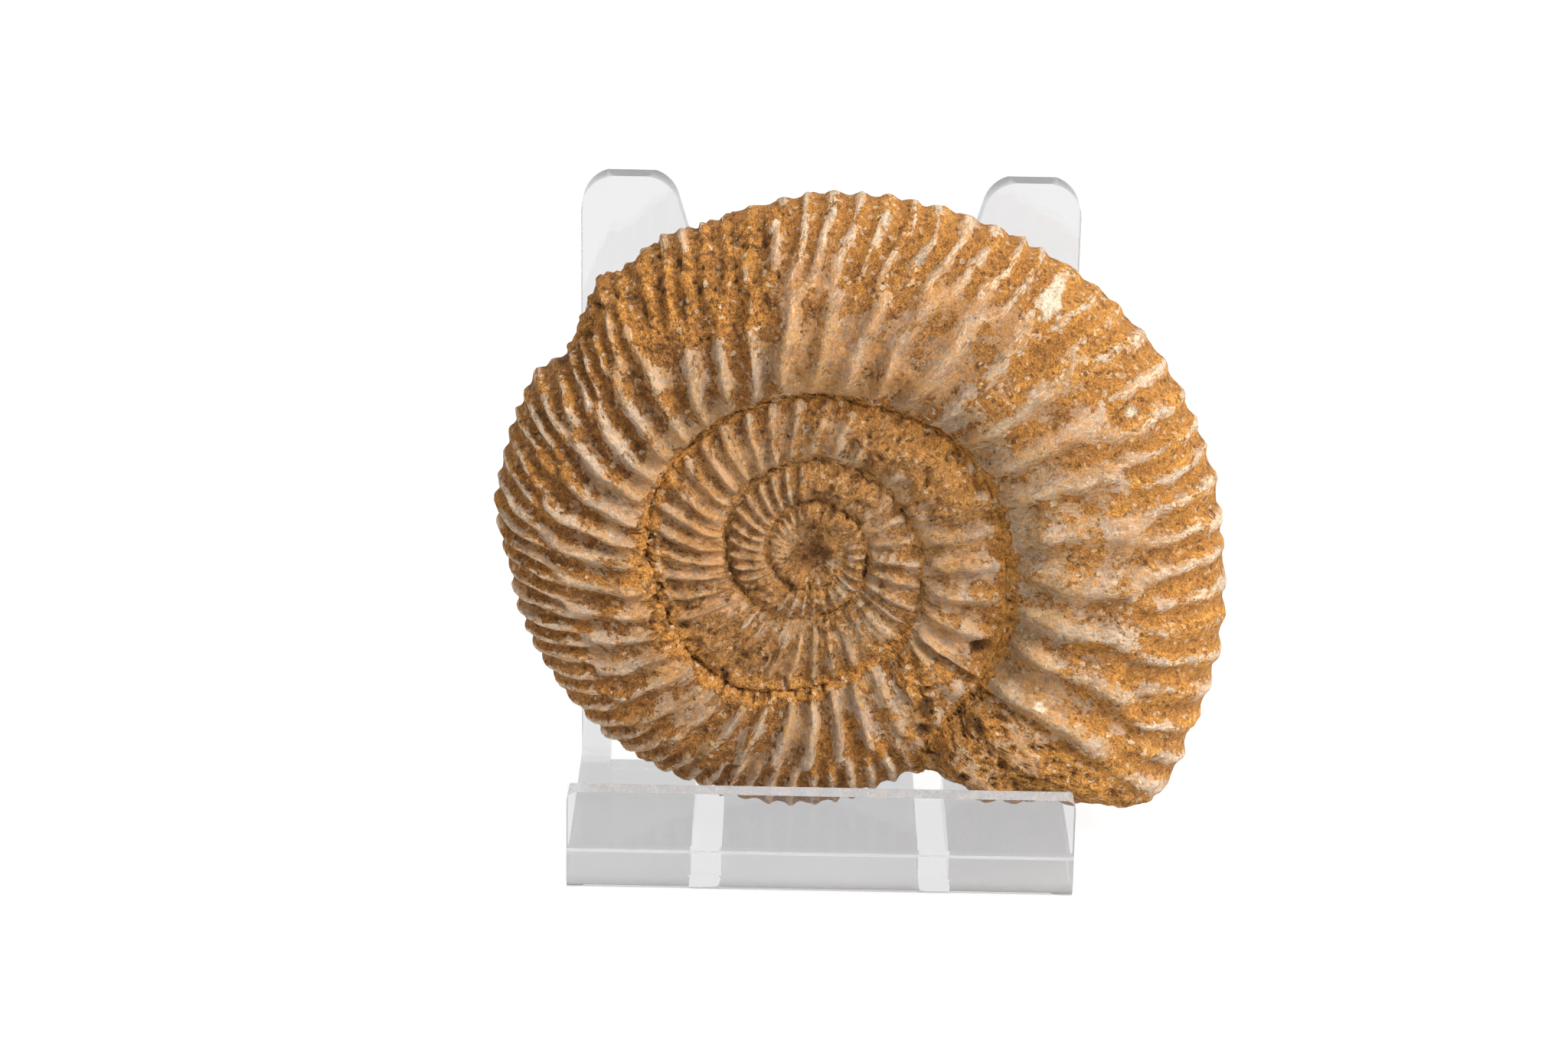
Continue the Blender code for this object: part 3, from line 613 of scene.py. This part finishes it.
    # The centre is painted darker here as well: partly its own darker stone, partly painted shade
    # of the hollow.
    value = ((speck - 0.5) * 1.1 + (dust - 0.5) * 1.1 + (fine - 0.5) * 1.6 + 0.66
             + (crumb - 0.5) * 0.35 + (shade - 0.5) * edge * 0.3 - patch * 0.06 - heart * 0.1
             + (fine - 0.5) * (patch + worn + band) * 1.2).clamp()
    tone = stone.blend(value, (0.48, 0.45, 0.42), (1.14, 1.14, 1.14))
    colour = stone.blend(1.0, colour, tone, "MULTIPLY")
    grains = stone.node("ShaderNodeTexVoronoi", {}, {"Vector": spot, "Scale": 2.4}, "Distance")
    rough = (1.0 - edge) * (grains * 0.35 + dust * 0.3)
    height = (edge * 0.4 + mid * 0.3 + fine * 0.35 + speck * 0.2 + dust * 0.1 + rough
              + thread * 0.24 + streak * 0.1 - pit * 0.3)
    normal = stone.bump(height, 1.0, stoneFinish["bump"])
    stone.set(Base_Color=colour, Normal=normal, Specular_IOR_Level=stoneFinish["specular"],
              Roughness=stoneFinish["roughness"] - edge * stoneFinish["shellPolish"])
    return stone.material


# The stand: lip, base, two prongs and a foot cut from one sheet and bent.
sheet = {
    "width": 82.4, "thick": 4.9, "lipHeight": 17.3, "lipLean": 9.0, "bend": 1.6,
    "frontEdge": 3.2, "panelFront": 42.2, "panelLean": 3.0, "top": 107.2, "prong": 16.2,
    "corner": 5.8, "flare": 17.0, "notchFoot": 45.0, "windowHalf": 36.2, "windowTop": 30.0,
    "tongueHalf": 16.1, "slot": 5.0, "footReach": 62.0, "bevel": 0.35, "middle": -6.05,
}


def arc(centre, radius, start, end, steps):
    spots = []
    for step in range(steps + 1):
        turn = math.radians(start + (end - start) * step / steps)
        spots.append((centre[0] + radius * math.cos(turn), centre[1] + radius * math.sin(turn)))
    return spots


def sheetProfile():
    thick = sheet["thick"]
    outer = sheet["bend"] + thick
    lip = math.radians(sheet["lipLean"])
    lean = math.radians(sheet["panelLean"])
    front = (outer, outer)
    rear = (sheet["panelFront"] - sheet["bend"], outer)
    rise = (math.sin(lip), math.cos(lip))
    away = (-math.cos(lip), math.sin(lip))
    foot = (front[0] + away[0] * outer, front[1] + away[1] * outer)
    reach = (sheet["lipHeight"] - foot[1]) / rise[1]
    topOut = (foot[0] + rise[0] * reach, foot[1] + rise[1] * reach)
    topIn = (topOut[0] - away[0] * thick, topOut[1] - away[1] * thick)
    up = (math.sin(lean), math.cos(lean))
    side = (math.cos(lean), -math.sin(lean))
    start = (rear[0] + side[0] * outer, rear[1] + side[1] * outer)
    near = (rear[0] + side[0] * sheet["bend"], rear[1] + side[1] * sheet["bend"])
    climb = (sheet["top"] - near[1]) / up[1]
    edge = sheet["frontEdge"]
    edgeCentre = (foot[0] + (edge - (foot[1] - edge) * away[1]) / -away[0], edge)
    line = [topOut]
    line += arc(edgeCentre, edge, 180.0 - sheet["lipLean"], 270.0, 20)
    line += arc(rear, outer, 270.0, 360.0 - sheet["panelLean"], 24)
    line.append((start[0] + up[0] * climb, start[1] + up[1] * climb))
    line.append((near[0] + up[0] * climb, near[1] + up[1] * climb))
    line += arc(rear, sheet["bend"], 360.0 - sheet["panelLean"], 270.0, 12)
    line += arc(front, sheet["bend"], 270.0, 180.0 - sheet["lipLean"], 12)
    line.append(topIn)
    return line


def prism(name, line, along, low, high):
    mesh = bpy.data.meshes.new(name)
    form = bmesh.new()
    ring = []
    for first, second in line:
        if along == "x":
            ring.append(form.verts.new((low * mm, first * mm, second * mm)))
        else:
            ring.append(form.verts.new((first * mm, low * mm, second * mm)))
    face = form.faces.new(ring)
    push = bmesh.ops.extrude_face_region(form, geom=[face])
    moved = [part for part in push["geom"] if isinstance(part, bmesh.types.BMVert)]
    step = (high - low) * mm
    shift = (step, 0.0, 0.0) if along == "x" else (0.0, step, 0.0)
    bmesh.ops.translate(form, verts=moved, vec=shift)
    bmesh.ops.recalc_face_normals(form, faces=form.faces[:])
    form.to_mesh(mesh)
    form.free()
    item = bpy.data.objects.new(name, mesh)
    bpy.context.scene.collection.objects.link(item)
    return item


def notchLine():
    flare = math.radians(sheet["flare"])
    top = sheet["top"]
    corner = sheet["corner"]
    centre = (sheet["width"] / 2.0 - sheet["prong"] + corner, top - corner)
    right = [(centre[0] + 1.5, top + 4.0), (centre[0] + 1.2, top + 0.02)]
    right += arc(centre, corner, 90.0, 180.0 - sheet["flare"], 16)[1:]
    last = right[-1]
    low = sheet["notchFoot"] + 4.0
    lowX = last[0] - (last[1] - low) * math.tan(flare)
    right.append((lowX, low))
    right += [(lowX - 0.35, low - 1.5), (lowX - 1.0, low - 2.6), (lowX - 1.8, low - 3.5),
              (lowX - 2.6, low - 4.0)]
    return right + [(-x, z) for x, z in reversed(right)]


def cornerLine(sign, radius, top):
    half = sheet["width"] / 2.0
    centre = (half - radius, top - radius)
    line = arc(centre, radius, 0.0, 90.0, 16)
    line += [(centre[0] - 0.2, top + 4.0), (half + 4.0, top + 4.0), (half + 4.0, centre[1] - 0.2)]
    return [(sign * x, z) for x, z in line]


def boxLine(xLow, xHigh, zLow, zHigh):
    return [(xLow, zLow), (xHigh, zLow), (xHigh, zHigh), (xLow, zHigh)]


def buildStand():
    half = sheet["width"] / 2.0
    blank = prism("display_stand_sheet", sheetProfile(), "x", -half, half)
    tools = [prism("notch_tool", notchLine(), "y", 25.0, 60.0)]
    tools.append(prism("window_tool", boxLine(-sheet["windowHalf"], sheet["windowHalf"], -3.0,
                                              sheet["windowTop"]),
                       "y", sheet["panelFront"] - sheet["bend"] - 1.0, 60.0))
    for sign in (-1.0, 1.0):
        edges = sorted((sign * sheet["tongueHalf"], sign * (sheet["tongueHalf"] + sheet["slot"])))
        tools.append(prism("slot_tool", boxLine(*edges, -3.0, sheet["thick"] + 0.8), "y",
                           sheet["thick"] + sheet["bend"] - 1.2, sheet["panelFront"]))
        tools.append(prism("corner_tool", cornerLine(sign, sheet["corner"], sheet["top"]),
                           "y", 25.0, 60.0))
        tools.append(prism("lip_tool", cornerLine(sign, 1.6, sheet["lipHeight"]), "y", -5.0, 10.0))
    foot = prism("foot_tool", boxLine(-sheet["tongueHalf"] + 0.02, sheet["tongueHalf"] - 0.02,
                                      0.02, sheet["thick"] - 0.02), "y", 24.0, sheet["footReach"])
    for tool in tools + [foot]:
        cut = blank.modifiers.new(tool.name, "BOOLEAN")
        cut.operation = "UNION" if tool is foot else "DIFFERENCE"
        cut.solver = "EXACT"
        cut.object = tool
    bevel = blank.modifiers.new("edges", "BEVEL")
    bevel.width = sheet["bevel"] * mm
    bevel.segments = 2
    bevel.limit_method = "ANGLE"
    bevel.angle_limit = math.radians(35.0)
    bevel.use_clamp_overlap = True
    deps = bpy.context.evaluated_depsgraph_get()
    mesh = bpy.data.meshes.new_from_object(blank.evaluated_get(deps))
    mesh.name = "clear_stand"
    for item in tools + [foot, blank]:
        bpy.data.objects.remove(item, do_unlink=True)
    form = bmesh.new()
    form.from_mesh(mesh)
    bmesh.ops.dissolve_degenerate(form, dist=1e-6, edges=form.edges[:])
    low, high = (Vector(corner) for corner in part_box("display_stand"))
    reach = [vertex.co.x for vertex in form.verts]
    side = [vertex.co.y for vertex in form.verts]
    shift = Vector(((low.x + high.x - min(reach) - max(reach)) / 2.0,
                    (low.y + high.y - min(side) - max(side)) / 2.0, 0.0))
    bmesh.ops.translate(form, verts=form.verts[:], vec=shift)
    for vertex in form.verts:
        for axis in range(3):
            vertex.co[axis] = min(max(vertex.co[axis], low[axis]), high[axis])
    # Wide faces stay flat, so that only the bends and the eased edges are shaded round.
    for face in form.faces:
        longest = max(edge.calc_length() for edge in face.edges)
        face.smooth = face.calc_area() / longest < 0.0012
    for edge in form.edges:
        edge.smooth = len(edge.link_faces) == 2 and edge.calc_face_angle() < math.radians(28.0)
    form.to_mesh(mesh)
    form.free()
    piece = bpy.data.objects.new("clear_stand", mesh)
    bpy.context.scene.collection.objects.link(piece)
    print("stand shaped,", len(mesh.polygons), "faces")
    return piece


acrylic = {"colour": (0.78, 0.78, 0.786), "ior": 1.49, "polish": 0.01, "smear": 0.05,
           "sawCut": 0.4, "sawHalf": (20.0, 19.2), "sawTop": (1.3, 0.9),
           "underside": 0.9, "undersideTop": (0.25, 0.1), "cutEdge": 0.45}


def acrylicMaterial():
    clear = Recipe("clear_acrylic_polished")
    spot = clear.place(1000.0)
    ripple = clear.cloud(spot, 0.06, 2.0, 0.5)
    normal = clear.bump(ripple, 0.15, 0.0008)
    smear = clear.cloud(spot, 0.25, 4.0, 0.6).ease(0.55, 0.8)
    # Saw marks are left on the front edge; the underside and the panel's cut edges are duller.
    where = clear.node("ShaderNodeSeparateXYZ", {}, {0: spot})
    across = Wire(clear, where.socket.node.outputs[0])
    height = Wire(clear, where.socket.node.outputs[2])
    facing = clear.node("ShaderNodeTexCoord", {}, {}, "Normal")
    depth = clear.node("ShaderNodeSeparateXYZ", {}, {0: facing}, 1)
    fromFront = Wire(clear, where.socket.node.outputs[1])
    panel = height.ease(6.0, 9.0) * fromFront.ease(-14.0, -10.0)
    rimCut = depth.sum("ABSOLUTE").ease(0.6, 0.3) * panel
    fromMiddle = (across - sheet["middle"]).sum("ABSOLUTE")
    cut = fromMiddle.ease(*acrylic["sawHalf"]) * height.ease(*acrylic["sawTop"])
    under = height.ease(*acrylic["undersideTop"])
    dull = under * acrylic["underside"] + rimCut * acrylic["cutEdge"]
    rough = smear * acrylic["smear"] + acrylic["polish"] + cut * acrylic["sawCut"] + dull
    clear.set(Base_Color=acrylic["colour"], Roughness=rough, IOR=acrylic["ior"],
              Transmission_Weight=1.0, Normal=normal)
    return clear.material


def dress(piece, material, node):
    piece.data.materials.clear()
    piece.data.materials.append(material)
    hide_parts(node)
    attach(piece, "root")


dress(buildAmmonite(), stoneMaterial(), "ammonite")
dress(buildStand(), acrylicMaterial(), "display_stand")
print("pieces dressed")

# Floor, light and camera.
studio = {
    "floorSize": 4.0, "floorColour": (0.12, 0.12, 0.12), "floorGlow": 0.92, "world": 0.54,
    "floorPlace": (0.0, 0.6, -0.0002),
    "overhead": ((0.0, 0.2, 1.3), (0.0, 0.1, 0.0), (1.6, 1.6), 5.0),
    "key": ((0.62, -0.46, 0.72), (0.0, 0.0, 0.05), (0.5, 0.5), 14.5),
}


def buildFloor():
    mesh = bpy.data.meshes.new("floor")
    form = bmesh.new()
    bmesh.ops.create_grid(form, x_segments=1, y_segments=1, size=studio["floorSize"] / 2.0)
    form.to_mesh(mesh)
    form.free()
    item = bpy.data.objects.new("floor", mesh)
    item.location = studio["floorPlace"]
    bpy.context.scene.collection.objects.link(item)
    paper = Recipe("pale_floor")
    paper.set(Base_Color=studio["floorColour"], Roughness=0.9,
              Emission_Color=(1.0, 1.0, 1.0), Emission_Strength=studio["floorGlow"])
    mesh.materials.append(paper.material)


def addLight(name, spot, target, size, power):
    data = bpy.data.lights.new(name, "AREA")
    data.shape = "RECTANGLE"
    data.size, data.size_y = size
    data.energy = power
    item = bpy.data.objects.new(name, data)
    item.location = spot
    item.rotation_euler = (Vector(target) - Vector(spot)).to_track_quat("-Z", "Y").to_euler()
    bpy.context.scene.collection.objects.link(item)


buildFloor()
for lightName in ("overhead", "key"):
    addLight(lightName, *studio[lightName])

world = bpy.data.worlds.new("studio")
bpy.context.scene.world = world
world.use_nodes = True
world.node_tree.nodes["Background"].inputs["Color"].default_value = (1.0, 1.0, 1.0, 1.0)
world.node_tree.nodes["Background"].inputs["Strength"].default_value = studio["world"]
bpy.context.scene.view_settings.view_transform = "Standard"
bpy.context.scene.view_settings.look = "None"

shot = {"place": (-0.01288, -0.53886, 0.27057), "down": 22.14, "roll": 1.06,
        "focal": 4587.0, "frameWidth": 2048.0, "sink": 13.7}
lens = bpy.data.cameras.new("camera")
lens.sensor_width = 36.0
lens.lens = 36.0 * shot["focal"] / shot["frameWidth"]
lens.shift_y = shot["sink"] / shot["frameWidth"]
lens.clip_start = 0.01
camera = bpy.data.objects.new("camera", lens)
camera.location = shot["place"]
camera.rotation_mode = "XYZ"
camera.rotation_euler = (math.radians(90.0 - shot["down"]), 0.0, 0.0)
camera.rotation_euler.rotate_axis("Z", math.radians(shot["roll"]))
bpy.context.scene.collection.objects.link(camera)
bpy.context.scene.camera = camera
print("studio ready")
